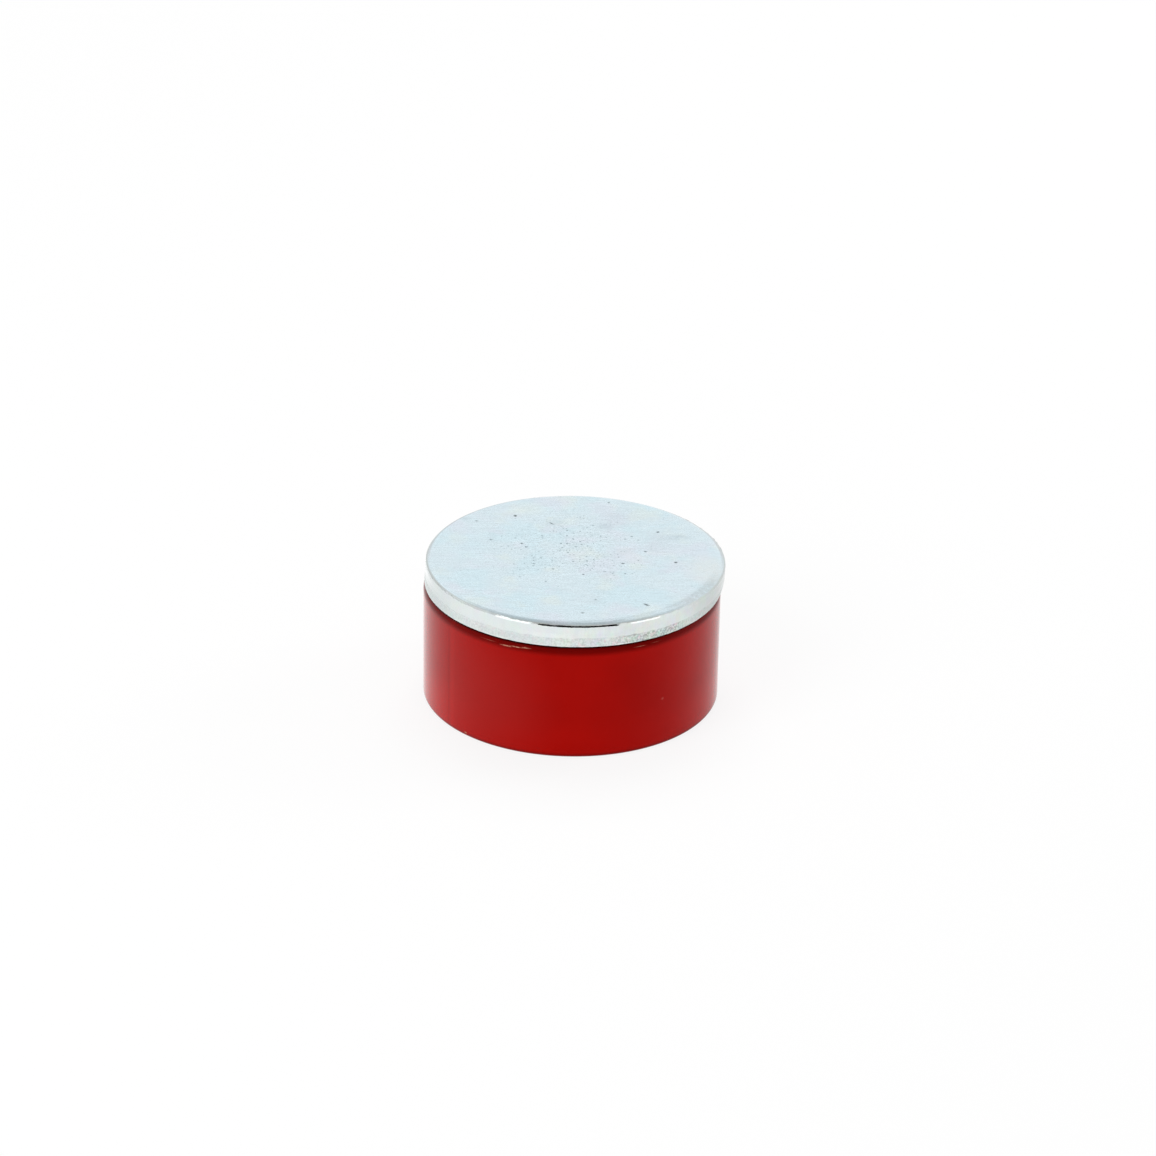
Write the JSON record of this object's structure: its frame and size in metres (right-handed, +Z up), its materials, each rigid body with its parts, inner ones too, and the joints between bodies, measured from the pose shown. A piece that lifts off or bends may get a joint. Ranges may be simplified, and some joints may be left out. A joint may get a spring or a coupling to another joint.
{
  "type": "pot magnet",
  "caption": "Small round pot magnet: a red painted steel cup with a ring magnet potted inside, a centre screw hole, and a zinc plated steel keeper disc lying on its pole face.",
  "frame": {"origin": "centre of the pot's underside, on the screw hole's axis at its mouth", "axes": "+Z up along the screw hole's axis, from the underside to the pole face and the keeper; +X and +Y are free, and the keeper lies 0.22 mm off centre, mostly towards +X"},
  "size_m": [0.0193, 0.0192, 0.0094],
  "materials": {
    "red_paint": "gloss stove enamel over steel",
    "magnet_alloy": "cast, ground on the pole face",
    "potting_resin": "poured and set, slightly glossy",
    "zinc_plate": "blue passivated zinc plate over blanked steel, fine pits"
  },
  "bodies": {
    "root": {"steel_pot": "red_paint", "magnet_core": "magnet_alloy", "resin_ring": "potting_resin", "keeper_disc": "zinc_plate"}
  },
  "joints": []
}
